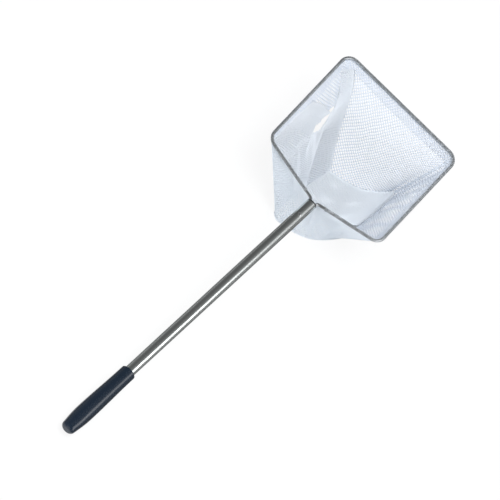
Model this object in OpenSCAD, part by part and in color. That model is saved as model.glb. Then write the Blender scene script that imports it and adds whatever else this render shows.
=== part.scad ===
// Hand skimmer net: a moulded grip on a plain steel tube, a bent wire frame
// held in the mouth of the tube, and a soft mesh bag hung from the frame.
//
// Handle frame: the origin is the centre of the tube's mouth, x runs along the
// tube towards the frame, y to the left and z away from the bag.
// Floor frame: the net is set down on the end of its grip and the foot of its
// bag, z is up, and the origin is under the middle of the whole net.

/* [Handle] */
// Outside diameter of the handle tube
tube_d = 16; // [14:0.5:19]
// Wall thickness of the handle tube
tube_wall = 1.2; // [1:0.1:1.5]
// Bare tube between the grip and the mouth
bare_len = 366; // [200:1:900]

/* [Grip] */
// Length of the grip
grip_len = 124; // [110:1:150]
// Widest diameter of the grip
grip_d = 24.9; // [23:0.1:28]
// Diameter of the grip next to its blunt end
grip_end_d = 20.4; // [20:0.1:21.5]
// Diameter of the grip next to its mouth
grip_mouth_d = 21.9; // [21:0.1:22.8]
// Length of tube inside the grip
grip_hold = 100; // [60:1:100]

/* [Frame] */
// Width of the wire frame between wire centres
frame_w = 200; // [160:1:240]
// Length of the frame's sides, from corner to corner
frame_l = 173; // [130:1:220]
// Slope of the two neck edges
neck_slope = 12.6; // [8:0.1:18]
// Diameter of the frame wire
wire_d = 4; // [3:0.1:4.2]
// Bend radius of the four corners
corner_r = 15; // [10:1:20]
// Turn of the frame against the handle
frame_skew = 3.6; // [0:0.1:5]

/* [Neck] */
// Distance of the frame wire's two tails from the tube's axis
tail_off = 4.2; // [4:0.1:4.4]
// Length of wire tail inside the tube
tail_len = 38; // [30:1:40]
// Bend radius of the wire where it leaves the tube
tail_r = 6; // [5:0.1:6.4]
// Distance from the mouth to the point of the frame's neck
neck_ahead = 6; // [6:0.1:9]
// Thickness of the plug's collar in front of the mouth
collar_t = 1.6; // [1:0.1:1.8]
// Distance of the cross pin behind the mouth
pin_back = 26; // [20:1:28]
// Diameter of the cross pin
pin_d = 3; // [2.5:0.1:3.4]

/* [Bag] */
// Thickness of the mesh as it hangs
mesh_t = 1; // [0.8:0.1:1.4]
// Openings across each panel of mesh
net_across = 10; // [4:2:12]
// Openings down each panel of mesh
net_down = 6; // [3:1:12]
// Width of the bars between the openings, as a share of a bar and an opening
net_bar = 0.3; // [0.2:0.05:0.6]
// Diameter of the mesh sleeve round the wire
hem_d = 4.8; // [4.6:0.1:5.4]
// Diameter of the sewn seams
seam_d = 2.4; // [2:0.1:3]
// Length of the bag's foot, along the handle
foot_l = 122; // [90:1:140]
// Width of the bag's foot, across the handle
foot_w = 81; // [70:1:110]
// How far the foot's right side lies ahead of its left side
foot_shear = 68; // [0:1:70]
// Turn of the foot against the handle
foot_turn = -4; // [-6:0.1:6]
// Distance of the foot's middle ahead of the tube's mouth
foot_ahead = 84; // [75:1:100]
// Distance of the foot's middle to the left of the handle
foot_side = -21; // [-30:1:0]
// Corner radius of the foot
foot_r = 7; // [5:1:14]
// How far the foot's near edge bows out, towards the handle
near_bow = 14; // [0:1:16]
// How far the foot's far edge bows in
far_bow = 12; // [0:1:14]
// How far the foot's two side edges bow out
side_bow = 3; // [0:1:8]
// How far the walls sag inwards
wall_sag = 8; // [0:1:14]

/* [Stance] */
// Pitch of the handle when the net is set down
pitch = 8; // [6:0.5:10]

/* [Hidden] */
$fn = 48;

gap = 0.05;          // clearance between sewn pieces
seam_take = seam_d / 2 + gap; // from the middle of a seam to the cloth
bore_d = tube_d - 2 * tube_wall;
plug_len = tail_len + 4;
grip_wide_at = 36;   // from the blunt end to the widest place
grip_round = 6;      // rounding of the blunt end
grip_lip = 1.2;      // rounding of the grip's mouth
pin_head_d = 5.2;
pin_head_h = 1.3;
hem_bare = 9;        // bare wire between the neck bend and the sleeve
rod_in = 0.6;        // straight wire that runs on inside each bend
bend_extra = 0.1;    // extra diameter of a bend

STEEL = [0.74, 0.75, 0.76];
BRIGHT = [0.80, 0.81, 0.82];
NAVY = [0.09, 0.15, 0.22];
BLACK = [0.10, 0.11, 0.12];
MESH = [0.86, 0.90, 0.94];
THREAD = [0.93, 0.95, 0.97];

// ---- Grip outline: radius of the grip at distance s from its blunt end ----
function grip_radius(s) =
    let (wide = grip_d / 2, tail = grip_end_d / 2, mouth = grip_mouth_d / 2)
    s < grip_wide_at
        ? tail + (wide - tail) * sin(90 * (s - grip_round) / (grip_wide_at - grip_round))
        : mouth + (wide - mouth)
            * (1 + cos(180 * (s - grip_wide_at) / (grip_len - grip_lip - grip_wide_at))) / 2;

grip_outline = concat(
    [for (a = [0:15:90])
        [grip_end_d / 2 - grip_round * (1 - sin(a)), grip_round * (1 - cos(a))]],
    [for (i = [1:24])
        let (s = grip_round + i * (grip_len - grip_lip - grip_round) / 24)
        [grip_radius(s), s]],
    [for (a = [30:30:90])
        [grip_mouth_d / 2 - grip_lip * (1 - cos(a)), grip_len - grip_lip * (1 - sin(a))]]
);

// ---- Stance: where the handle frame sits in the floor frame ----
handle_len = bare_len + grip_len;
grip_rest = max([for (p = grip_outline) p.x * cos(pitch) - p.y * sin(pitch)]);
mouth_z = grip_rest + handle_len * sin(pitch);

near_x = neck_ahead + frame_w / 2 * tan(neck_slope);
far_x = near_x + frame_l;
near_turn = 90 - neck_slope;

// Turns a point of the frame into the handle frame
function skewed(p) = [
    p.x * cos(frame_skew) - p.y * sin(frame_skew),
    p.x * sin(frame_skew) + p.y * cos(frame_skew)
];

far_right_bend = skewed([far_x - corner_r, corner_r - frame_w / 2]);
far_left_bend = skewed([far_x - corner_r, frame_w / 2 - corner_r]);
near_right_bend = skewed([near_x + corner_r * tan(near_turn / 2), corner_r - frame_w / 2]);

front_x = (far_right_bend.x + corner_r) * cos(pitch) + hem_d / 2;
back_x = -max([for (p = grip_outline) (handle_len - p.y) * cos(pitch) + p.x * sin(pitch)]);
left_y = far_left_bend.y + corner_r + hem_d / 2;
right_y = near_right_bend.y - corner_r - hem_d / 2;
mouth_at = [-(front_x + back_x) / 2, -(left_y + right_y) / 2, mouth_z];

module set_down() {
    translate(mouth_at) rotate([0, -pitch, 0]) children();
}

// A point of the wire's plane, in the floor frame
function on_floor(p) = mouth_at + [p.x * cos(pitch), p.y, p.x * sin(pitch)];

// ---- Frame wire: corners of its centre line, in the handle frame ----
neck_point = skewed([neck_ahead, 0]);
near_left = skewed([near_x, frame_w / 2]);
near_right = skewed([near_x, -frame_w / 2]);
far_left = skewed([far_x, frame_w / 2]);
far_right = skewed([far_x, -frame_w / 2]);

// The point of the neck edge towards corner p where it meets a tail at y
function neck_at(p, y) = [
    neck_point.x + (y - neck_point.y) * (p.x - neck_point.x) / (p.y - neck_point.y), y
];

wire_corners = [
    [-tail_len, -tail_off], neck_at(near_right, -tail_off), near_right, far_right,
    far_left, near_left, neck_at(near_left, tail_off), [-tail_len, tail_off]
];
wire_radii = [0, tail_r, corner_r, corner_r, corner_r, corner_r, tail_r, 0];

function unit(v) = v / norm(v);
function heading(v) = atan2(v.y, v.x);
function crossed(a, b) = a.x * b.y - a.y * b.x;
function turn_at(a, b, c) =
    atan2(crossed(unit(b - a), unit(c - b)), unit(b - a) * unit(c - b));

// Length that the bend at corner i takes from each of its two edges
function bend_take(c, r, i) =
    r[i] == 0 ? 0 : r[i] * tan(abs(turn_at(c[i - 1], c[i], c[i + 1])) / 2);

// A straight length, which runs a little into the bends at its ends
module rod(a, b, d) {
    way = unit(b - a);
    translate([a.x, a.y, 0]) rotate([0, 0, heading(way)]) rotate([0, 90, 0])
        translate([0, 0, -rod_in]) cylinder(h = norm(b - a) + 2 * rod_in, d = d);
}

// A bend, a hair thicker than the straight lengths that end inside it
module bend(a, b, c, r, d) {
    turn = turn_at(a, b, c);
    side = sign(turn);
    start = b - unit(b - a) * r * tan(abs(turn) / 2);
    middle = start + side * r * [-unit(b - a).y, unit(b - a).x];
    from = side > 0 ? heading(start - middle) : heading(start - middle) + turn;
    translate([middle.x, middle.y, 0]) rotate([0, 0, from])
        rotate_extrude(angle = abs(turn)) translate([r, 0]) circle(d = d + bend_extra);
}

// A run of wire along corners c, bent to radii r
module bent_run(c, r, d) {
    last = len(c) - 1;
    for (i = [0:last - 1]) {
        way = unit(c[i + 1] - c[i]);
        rod(c[i] + way * bend_take(c, r, i), c[i + 1] - way * bend_take(c, r, i + 1), d);
    }
    for (i = [1:last - 1]) bend(c[i - 1], c[i], c[i + 1], r[i], d);
}

// ---- Bag: a loft from the frame down to its foot ----
// Corners run counter-clockwise seen from above, from the near left corner.
rim = [near_left, neck_point, near_right, far_right, far_left];
rim_radii = [corner_r, tail_r, corner_r, corner_r, corner_r];
foot_turned = function (p) [
    p.x * cos(foot_turn) - p.y * sin(foot_turn) + foot_ahead,
    p.x * sin(foot_turn) + p.y * cos(foot_turn) + foot_side
];
foot = [
    foot_turned([-foot_l / 2 - foot_shear / 2, foot_w / 2]),
    foot_turned([-foot_l / 2 + foot_shear / 2, -foot_w / 2]),
    foot_turned([foot_l / 2 + foot_shear / 2, -foot_w / 2]),
    foot_turned([foot_l / 2 - foot_shear / 2, foot_w / 2])
];

// Half of the turn at corner i of a closed outline
function half_turn(c, i) =
    let (n = len(c)) turn_at(c[(i + n - 1) % n], c[i], c[(i + 1) % n]) / 2;

// Length of the edge that starts at corner i, from the middle of one rounded
// corner to the middle of the next
function edge_len(c, i, r0, r1) =
    let (
        j = (i + 1) % len(c),
        h0 = half_turn(c, i),
        h1 = half_turn(c, j)
    )
    norm(c[j] - c[i]) - r0 * tan(h0) - r1 * tan(h1) + (r0 * h0 + r1 * h1) * PI / 180;

// Point and inward direction at distance s along that edge
function edge_at(c, i, r0, r1, s) =
    let (
        j = (i + 1) % len(c),
        h0 = half_turn(c, i),
        h1 = half_turn(c, j),
        dir = unit(c[j] - c[i]),
        inward = [-dir.y, dir.x],
        start = c[i] + dir * r0 * tan(h0),
        run = norm(c[j] - c[i]) - r0 * tan(h0) - r1 * tan(h1),
        t = s - r0 * h0 * PI / 180,
        a = t < 0 ? t / r0 * 180 / PI : t > run ? (t - run) / r1 * 180 / PI : 0,
        r = t < 0 ? r0 : r1,
        at = inward * cos(a) - dir * sin(a)
    )
    t < 0 ? [start + inward * r - at * r, at]
        : t > run ? [start + dir * run + inward * r - at * r, at]
        : [start + dir * t, inward];

// Point of the rim's edges i to i + count - 1, at share u of their whole length
function rim_at(i, count, u) =
    let (
        lens = [for (k = [0:count - 1])
            edge_len(rim, i + k, rim_radii[i + k], rim_radii[(i + k + 1) % 5])],
        whole = count == 1 ? lens[0] : lens[0] + lens[1],
        s = seam_take + u * (whole - 2 * seam_take),
        k = s <= lens[0] ? i : i + 1
    )
    edge_at(rim, k, rim_radii[k], rim_radii[(k + 1) % 5], s <= lens[0] ? s : s - lens[0]);

foot_bows = [near_bow, side_bow, -far_bow, side_bow];

// Point and inward direction at distance s along the foot's edge i
function foot_bowed(i, s) =
    let (
        whole = edge_len(foot, i, foot_r, foot_r),
        u = (s - seam_take) / (whole - 2 * seam_take),
        e = edge_at(foot, i, foot_r, foot_r, s)
    )
    [e[0] - e[1] * foot_bows[i] * sin(180 * min(max(u, 0), 1)), e[1]];

// The same at share u of the wall that stands on that edge
function foot_at(i, u) =
    foot_bowed(i, seam_take + u * (edge_len(foot, i, foot_r, foot_r) - 2 * seam_take));

// Point of the foot's cloth along its edge i, just inside the seam
function foot_hem_at(i, u) =
    let (e = foot_bowed(i, u * edge_len(foot, i, foot_r, foot_r))) e[0] + e[1] * seam_take;

function with_z(p, z) = [p.x + mouth_at.x, p.y + mouth_at.y, z];
function wide(n) = [n.x, n.y, 0];

// Point of a wall: u along it, v from the rim down to the foot, in is 0 on the
// outside and 1 on the inside
function wall_at(rim_i, count, foot_i, u, v, in) =
    let (
        top = rim_at(rim_i, count, u),
        low = foot_at(foot_i, u),
        high = on_floor(top[0]) - [0, 0, hem_d / 2 + gap],
        base = with_z(low[0], seam_d + gap),
        way = unit(wide(top[1]) * (1 - v) + wide(low[1]) * v)
    )
    high * (1 - v) + base * v + way * (wall_sag * sin(180 * u) * sin(180 * v) + in * mesh_t);

// Point of the foot's cloth: u from its left edge to its right one, v from its
// near edge to its far one, in is 0 on the floor and 1 inside the bag
function foot_cloth_at(u, v, in) =
    let (
        ends = [for (w = [0, 1]) foot_hem_at(0, w) * (1 - v) + foot_hem_at(2, 1 - w) * v],
        across = foot_hem_at(0, u) * (1 - v) + foot_hem_at(2, 1 - u) * v,
        down = foot_hem_at(3, 1 - v) * (1 - u) + foot_hem_at(1, v) * u
    )
    with_z(across + down - ends[0] * (1 - u) - ends[1] * u, in * mesh_t);

// Shares of a panel where its bars and its n openings begin and end
function net_lines(n) = concat(
    [0],
    [for (k = [0:n - 1]) each [(k + net_bar) / (n + net_bar), (k + 1) / (n + net_bar)]],
    [1]
);

// A cell is cloth if it lies in a bar, across or down
function is_cloth(i, j, nu, nv) =
    i >= 0 && i < nu && j >= 0 && j < nv && (i % 2 == 0 || j % 2 == 0);

// A panel of mesh with two skins, from a function of u, v and in
module net(skin) {
    us = net_lines(net_across);
    vs = net_lines(net_down);
    nu = len(us) - 1;
    nv = len(vs) - 1;
    row = nu + 1;
    side = row * (nv + 1);
    points = [for (in = [0, 1]) for (v = vs) for (u = us) skin(u, v, in)];
    faces = [for (j = [0:nv - 1]) for (i = [0:nu - 1]) if (is_cloth(i, j, nu, nv))
        let (
            a = j * row + i, b = a + 1, c = b + row, d = a + row,
            rims = [
                if (!is_cloth(i - 1, j, nu, nv)) [a, d],
                if (!is_cloth(i + 1, j, nu, nv)) [c, b],
                if (!is_cloth(i, j - 1, nu, nv)) [b, a],
                if (!is_cloth(i, j + 1, nu, nv)) [d, c]
            ]
        )
        each concat(
            [
                [a, b, c], [a, c, d],
                [side + c, side + b, side + a], [side + d, side + c, side + a]
            ],
            [for (e = rims) each [[e[0], e[1], side + e[1]], [e[0], side + e[1], side + e[0]]]]
        )];
    polyhedron(points = points, faces = faces, convexity = 10);
}

module wall(rim_i, count, foot_i) {
    net(function (u, v, in) wall_at(rim_i, count, foot_i, u, v, in));
}

// The foot's outline, with the bow of its edges
foot_line = [for (i = [0:3]) for (k = [0:15]) foot_at(i, k / 15)[0]];

// A round bead of n sides along points p, closed into a ring or capped
module bead(p, d, sides, closed) {
    n = len(p);
    points = [for (i = [0:n - 1])
        let (
            before = p[closed ? (i + n - 1) % n : max(i - 1, 0)],
            after = p[closed ? (i + 1) % n : min(i + 1, n - 1)],
            along = unit(after - before),
            across = unit(cross(along, abs(along.z) > 0.9 ? [1, 0, 0] : [0, 0, 1])),
            up = cross(across, along)
        )
        for (k = [0:sides - 1])
            p[i] + d / 2 * (across * cos(360 * k / sides) + up * sin(360 * k / sides))];
    rings = closed ? n : n - 1;
    skin = [for (i = [0:rings - 1]) for (k = [0:sides - 1])
        let (
            a = i * sides + k,
            b = i * sides + (k + 1) % sides,
            c = (i + 1) % n * sides + (k + 1) % sides,
            e = (i + 1) % n * sides + k
        )
        each [[a, b, c], [a, c, e]]];
    caps = closed ? [] : [
        [for (k = [sides - 1:-1:0]) k],
        [for (k = [0:sides - 1]) (n - 1) * sides + k]
    ];
    polyhedron(points = points, faces = concat(skin, caps), convexity = 6);
}

// ---- Pieces ----
module handle_tube() {
    color(STEEL) set_down() difference() {
        translate([-bare_len - grip_hold, 0, 0]) rotate([0, 90, 0])
            cylinder(h = bare_len + grip_hold, d = tube_d);
        translate([-bare_len - grip_hold - 1, 0, 0]) rotate([0, 90, 0])
            cylinder(h = bare_len + grip_hold + 2, d = bore_d);
        translate([-pin_back, 0, 0]) cylinder(h = tube_d + 2, d = pin_d, center = true);
    }
}

module grip() {
    color(NAVY) set_down() translate([-handle_len, 0, 0]) rotate([0, 90, 0])
        rotate_extrude() polygon(concat(
            [[0, 0]],
            grip_outline,
            [
                [tube_d / 2, grip_len],
                [tube_d / 2, grip_len - grip_hold],
                [0, grip_len - grip_hold]
            ]
        ));
}

module neck_plug() {
    color(BLACK) set_down() difference() {
        rotate([0, 90, 0]) union() {
            translate([0, 0, -plug_len]) cylinder(h = plug_len, d = bore_d);
            cylinder(h = collar_t, d = tube_d - 0.4);
        }
        for (side = [-1, 1]) translate([-tail_len - rod_in, side * tail_off, 0])
            rotate([0, 90, 0]) cylinder(h = tail_len + rod_in + collar_t + 1, d = wire_d);
        translate([-pin_back, 0, 0]) cylinder(h = tube_d + 2, d = pin_d, center = true);
    }
}

module neck_pin() {
    dome_r = (pow(pin_head_d / 2, 2) + pow(pin_head_h, 2)) / (2 * pin_head_h);
    base = tube_d / 2 - 0.5;
    color(BRIGHT) set_down() translate([-pin_back, 0, 0]) {
        cylinder(h = tube_d, d = pin_d, center = true);
        difference() {
            for (side = [0, 1]) mirror([0, 0, side]) intersection() {
                translate([0, 0, base]) cylinder(h = pin_head_h + 0.5, d = pin_head_d);
                translate([0, 0, tube_d / 2 + pin_head_h - dome_r]) sphere(r = dome_r);
            }
            rotate([0, 90, 0]) cylinder(h = 2 * pin_head_d, d = tube_d, center = true);
        }
    }
}

module frame_wire() {
    color(BRIGHT) set_down() bent_run(wire_corners, wire_radii, wire_d);
}

module rim_hem() {
    to_right = unit(near_right - wire_corners[1]);
    to_left = unit(near_left - wire_corners[6]);
    corners = [
        wire_corners[1] + to_right * (bend_take(wire_corners, wire_radii, 1) + hem_bare),
        near_right, far_right, far_left, near_left,
        wire_corners[6] + to_left * (bend_take(wire_corners, wire_radii, 6) + hem_bare)
    ];
    radii = [0, corner_r, corner_r, corner_r, corner_r, 0];
    color(THREAD) set_down() difference() {
        bent_run(corners, radii, hem_d);
        bent_run(wire_corners, wire_radii, wire_d + bend_extra);
    }
}

module bag_near_panel() { color(MESH) wall(0, 2, 0); }
module bag_right_panel() { color(MESH) wall(2, 1, 1); }
module bag_far_panel() { color(MESH) wall(3, 1, 2); }
module bag_left_panel() { color(MESH) wall(4, 1, 3); }

module bag_bottom_panel() {
    color(MESH) net(function (u, v, in) foot_cloth_at(u, v, in));
}

module corner_seams() {
    for (i = [0:3]) {
        r = i == 0 ? 0 : i + 1;
        top = edge_at(rim, r, corner_r, rim_radii[(r + 1) % 5], 0)[0];
        low = edge_at(foot, i, foot_r, foot_r, 0)[0];
        high = on_floor(top) - [0, 0, hem_d / 2 + seam_d / 2];
        base = with_z(low, 1.5 * seam_d + gap);
        color(THREAD) bead([for (k = [0:6]) high + (base - high) * k / 6], seam_d, 8, false);
    }
}

module foot_seam() {
    color(THREAD) bead([for (p = foot_line) with_z(p, seam_d / 2)], seam_d, 8, true);
}

handle_tube();
grip();
neck_plug();
neck_pin();
frame_wire();
rim_hem();
bag_far_panel();
bag_left_panel();
bag_right_panel();
bag_near_panel();
bag_bottom_panel();
corner_seams();
foot_seam();
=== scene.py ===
"""Dresses the hand skimmer net: netting, hem, seams and stitches, wire, tube, plug, pin and grip."""
import logging
import math
from dataclasses import dataclass, field
from enum import Enum
from functools import partial
from typing import Callable, Sequence

import bmesh
import bpy
from mathutils import Matrix, Vector
from mathutils.kdtree import KDTree


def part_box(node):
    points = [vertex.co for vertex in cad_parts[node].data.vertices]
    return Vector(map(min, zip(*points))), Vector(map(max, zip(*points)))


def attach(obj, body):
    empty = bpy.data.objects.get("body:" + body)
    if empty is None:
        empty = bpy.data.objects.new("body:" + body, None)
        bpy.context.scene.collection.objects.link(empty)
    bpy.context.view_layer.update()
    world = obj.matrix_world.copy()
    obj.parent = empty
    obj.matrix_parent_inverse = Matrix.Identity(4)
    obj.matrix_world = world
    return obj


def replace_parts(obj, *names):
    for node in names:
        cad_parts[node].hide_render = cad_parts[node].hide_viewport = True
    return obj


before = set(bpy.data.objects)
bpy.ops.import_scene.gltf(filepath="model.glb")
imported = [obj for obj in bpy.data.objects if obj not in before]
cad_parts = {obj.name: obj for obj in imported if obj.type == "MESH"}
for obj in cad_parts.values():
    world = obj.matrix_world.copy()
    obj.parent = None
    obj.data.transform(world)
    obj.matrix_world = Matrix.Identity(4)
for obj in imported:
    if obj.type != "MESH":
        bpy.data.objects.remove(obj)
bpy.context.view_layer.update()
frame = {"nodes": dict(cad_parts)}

LOG = logging.getLogger("skimmer_net")
MM = 0.001
UP = Vector((0, 0, 1))
BODY = "root"

Colour = tuple[float, float, float]
Line = tuple[tuple[float, float], ...]
Surface = Callable[[float, float], Vector]
Choice = Callable[[float, float], bool]


# ---- Shader building ----
class Sock:
    """A shader socket that does its maths with Python's own operators."""

    def __init__(self, shader: "Shader", socket: bpy.types.NodeSocket) -> None:
        """Wraps one output socket of a shader's node tree."""
        self.shader = shader
        self.socket = socket

    def _math(self, operation: str, first: object, second: object) -> "Sock":
        """The result of a Math node on two sockets or numbers."""
        return self.shader.node("ShaderNodeMath", {"operation": operation}, {0: first, 1: second})

    def __add__(self, other: object) -> "Sock":
        """Sum."""
        return self._math("ADD", self, other)

    def __radd__(self, other: object) -> "Sock":
        """Sum, with the number on the left."""
        return self._math("ADD", other, self)

    def __sub__(self, other: object) -> "Sock":
        """Difference."""
        return self._math("SUBTRACT", self, other)

    def __rsub__(self, other: object) -> "Sock":
        """Difference, with the number on the left."""
        return self._math("SUBTRACT", other, self)

    def __mul__(self, other: object) -> "Sock":
        """Product."""
        return self._math("MULTIPLY", self, other)

    def __rmul__(self, other: object) -> "Sock":
        """Product, with the number on the left."""
        return self._math("MULTIPLY", other, self)


class Shader:
    """A node tree and the one method by which nodes are added to it."""

    def __init__(self, tree: bpy.types.NodeTree) -> None:
        """Starts from an empty tree."""
        self.tree = tree
        self.tree.nodes.clear()

    def node(
        self,
        kind: str,
        settings: dict[str, object] | None = None,
        inputs: dict[object, object] | None = None,
        output: object = 0,
    ) -> Sock:
        """Adds a node.

        Args:
            kind: the node's type, such as ShaderNodeTexNoise.
            settings: its properties, set first; "stops" are a ramp's positions and colours.
            inputs: values or sockets, by the name or the number of the input.
            output: name or number of the output that is handed back.

        Returns:
            That output.
        """
        made = self.tree.nodes.new(kind)
        for name, value in (settings or {}).items():
            if name == "stops":
                self._set_stops(made.color_ramp, value)
            else:
                setattr(made, name, value)
        for name, value in (inputs or {}).items():
            if isinstance(value, Sock):
                self.tree.links.new(value.socket, made.inputs[name])
            else:
                made.inputs[name].default_value = value
        return Sock(self, made.outputs[output]) if made.outputs else Sock(self, None)

    @staticmethod
    def _set_stops(ramp: bpy.types.ColorRamp, stops: Sequence[tuple[float, Sequence[float]]]) -> None:
        """Sets the stops of a new ramp to these positions and colours, which are in order."""
        while len(ramp.elements) < len(stops):
            ramp.elements.new(1.0)
        for element, (position, colour) in zip(ramp.elements, stops):
            element.position = position
            element.color = (*colour, 1.0)

    @staticmethod
    def colour(value: object) -> object:
        """A colour for a node's input, from three numbers or a socket."""
        return value if isinstance(value, Sock) else (*value, 1.0)

    def blend(self, share: object, first: object, second: object) -> Sock:
        """Mixes two colours, each of three numbers or a socket: at share 0 the first, at 1 the second."""
        sides = {6: self.colour(first), 7: self.colour(second)}
        return self.node("ShaderNodeMix", {"data_type": "RGBA"}, {0: share, **sides}, output=2)

    def noise(self, at: Sock, scale: float, detail: float = 2.0, roughness: float = 0.5) -> Sock:
        """Noise from 0 to 1, with so many lumps to a metre and so many finer layers of some strength."""
        sizes = {"Vector": at, "Scale": scale, "Detail": detail, "Roughness": roughness}
        return self.node("ShaderNodeTexNoise", None, sizes)

    def place(self, turn: Sequence[float] = (0, 0, 0), scale: Sequence[float] = (1, 1, 1)) -> Sock:
        """The piece's own coordinates, turned by radians about x, y and z, and stretched along them."""
        point = self.node("ShaderNodeTexCoord", output="Object")
        return self.node("ShaderNodeMapping", None, {"Vector": point, "Rotation": turn, "Scale": scale})

    def ease(self, value: Sock, span: Sequence[float], results: Sequence[float]) -> Sock:
        """Eases between two results, as a value passes from the start to the end of a span."""
        ends = {0: value, 1: span[0], 2: span[1], 3: results[0], 4: results[1]}
        return self.node("ShaderNodeMapRange", {"interpolation_type": "SMOOTHSTEP"}, ends)

    def bump(self, height: Sock, depth: float, strength: float = 1.0) -> Sock:
        """The normal of a surface bumped by a height from 0 to 1, of which 1 is a depth in metres."""
        sizes = {"Strength": strength, "Distance": depth, "Height": height}
        return self.node("ShaderNodeBump", None, sizes)

    def glow(self, colour: object, strength: float = 1.0) -> Sock:
        """Light that a surface gives off, in a colour of three numbers or a socket, and at a strength."""
        return self.node("ShaderNodeEmission", None, {"Color": self.colour(colour), "Strength": strength})

    def end(self, surface: Sock, kind: str = "Material") -> None:
        """Ends the tree, of a material or a world, in a surface."""
        self.node(f"ShaderNodeOutput{kind}", None, {"Surface": surface})

    def coat(self, inputs: dict[object, object]) -> None:
        """Ends the tree in one Principled surface with these values and links."""
        self.end(self.node("ShaderNodeBsdfPrincipled", None, inputs))


def new_material(name: str) -> tuple[bpy.types.Material, Shader]:
    """Makes an empty material.

    Args:
        name: the material's name.

    Returns:
        The material and its shader.
    """
    material = bpy.data.materials.new(name)
    material.use_nodes = True
    return material, Shader(material.node_tree)


@dataclass(frozen=True)
class Steel:
    """Drawn steel with fine lines along it."""

    name: str
    clean: Colour
    dull: Colour
    roughness: float
    pitch: float
    line_depth: float = 0.004 * MM

    def make(self) -> bpy.types.Material:
        """Builds the finish.

        Returns:
            The material.
        """
        material, shader = new_material(self.name)
        turn = (0, self.pitch, 0)
        lines = shader.noise(shader.place(turn, (6, 900, 900)), 1.0, 3.0, 0.6)
        patches = shader.noise(shader.place(turn, (1, 3, 3)), 14.0, 4.0, 0.6)
        specks = shader.noise(shader.place(turn), 900.0, 1.0)
        shader.coat({
            "Base Color": shader.blend(patches * 0.7 + lines * 0.3, self.clean, self.dull),
            "Metallic": 1.0,
            "Roughness": lines * 0.10 + patches * 0.08 + specks * 0.04 + (self.roughness - 0.11),
            "Normal": shader.bump(lines, self.line_depth),
        })
        return material


@dataclass(frozen=True)
class Vinyl:
    """Dipped or moulded plastic, smooth, with a fine orange peel and rubbed places."""

    name: str
    deep: Colour
    rubbed: Colour
    roughness: float
    shine: float
    peel_depth: float = 0.03 * MM

    def make(self) -> bpy.types.Material:
        """Builds the finish.

        Returns:
            The material.
        """
        material, shader = new_material(self.name)
        point = shader.place()
        rub = shader.noise(point, 38.0, 5.0, 0.65)
        peel = shader.noise(point, 1500.0, 2.0)
        scuffs = shader.noise(shader.place(scale=(1, 6, 6)), 160.0, 3.0, 0.7)
        shader.coat({
            "Base Color": shader.blend(rub * 0.6 + scuffs * 0.4, self.deep, self.rubbed),
            "Roughness": rub * 0.10 + scuffs * 0.08 + (self.roughness - 0.09),
            "Specular IOR Level": self.shine,
            "Normal": shader.bump(peel, self.peel_depth, 0.35),
        })
        return material


@dataclass(frozen=True)
class Yarn:
    """White synthetic yarn, twisted, a little blue and a little soiled."""

    name: str
    clean: Colour
    shaded: Colour
    patches: float = 16.0
    spread: float = 1.0
    roughness: float = 0.55
    twist: float = 2600.0
    twist_depth: float = 0.05 * MM

    def make(self) -> bpy.types.Material:
        """Builds the finish.

        Returns:
            The material.
        """
        material, shader = new_material(self.name)
        point = shader.place()
        drift = (shader.noise(point, self.patches, 3.0, 0.55) - 0.5) * self.spread + 0.5
        lay = shader.noise(point, self.twist, 1.0)
        shader.coat({
            "Base Color": shader.blend(drift * 0.75 + lay * 0.25, self.clean, self.shaded),
            "Roughness": lay * 0.2 + (self.roughness - 0.1),
            "Specular IOR Level": 0.3,
            "Normal": shader.bump(lay, self.twist_depth, 0.4),
        })
        return material


# ---- Plan geometry, shared by the wire, the hem and the bag ----
@dataclass
class Outline:
    """A closed outline, counter-clockwise from above, of straight edges with rounded corners."""

    corners: list[Vector]
    radii: list[float]

    def half_turn(self, i: int) -> float:
        """Half of the turn at corner i, in radians."""
        before, here, after = (self.corners[(i + k) % len(self.corners)] for k in (-1, 0, 1))
        return -(here - before).angle_signed(after - here) / 2

    def edge_length(self, i: int) -> float:
        """Measures an edge.

        Args:
            i: the edge, which starts at corner i.

        Returns:
            Its length, from the middle of one rounded corner to the middle of the next.
        """
        j = (i + 1) % len(self.corners)
        length = (self.corners[j] - self.corners[i]).length
        for end in (i, j):
            turn = self.half_turn(end)
            length += self.radii[end] * (turn - math.tan(turn))
        return length

    def edge_at(self, i: int, run: float) -> tuple[Vector, Vector]:
        """Walks along edge i.

        Args:
            i: the edge, which starts at corner i.
            run: distance from the middle of that rounded corner.

        Returns:
            The point there, and the direction inwards.
        """
        j = (i + 1) % len(self.corners)
        along = (self.corners[j] - self.corners[i]).normalized()
        inward = Vector((-along.y, along.x))
        turns = self.half_turn(i), self.half_turn(j)
        start = self.corners[i] + along * self.radii[i] * math.tan(turns[0])
        straight = (self.corners[j] - self.corners[i]).length
        straight -= self.radii[i] * math.tan(turns[0]) + self.radii[j] * math.tan(turns[1])
        past = run - self.radii[i] * turns[0]
        if 0 <= past <= straight:
            return start + along * past, inward
        end = i if past < 0 else j
        angle = past / self.radii[i] if past < 0 else (past - straight) / self.radii[j]
        way = inward * math.cos(angle) - along * math.sin(angle)
        foot = start if past < 0 else start + along * straight
        return foot + (inward - way) * self.radii[end], way


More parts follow.
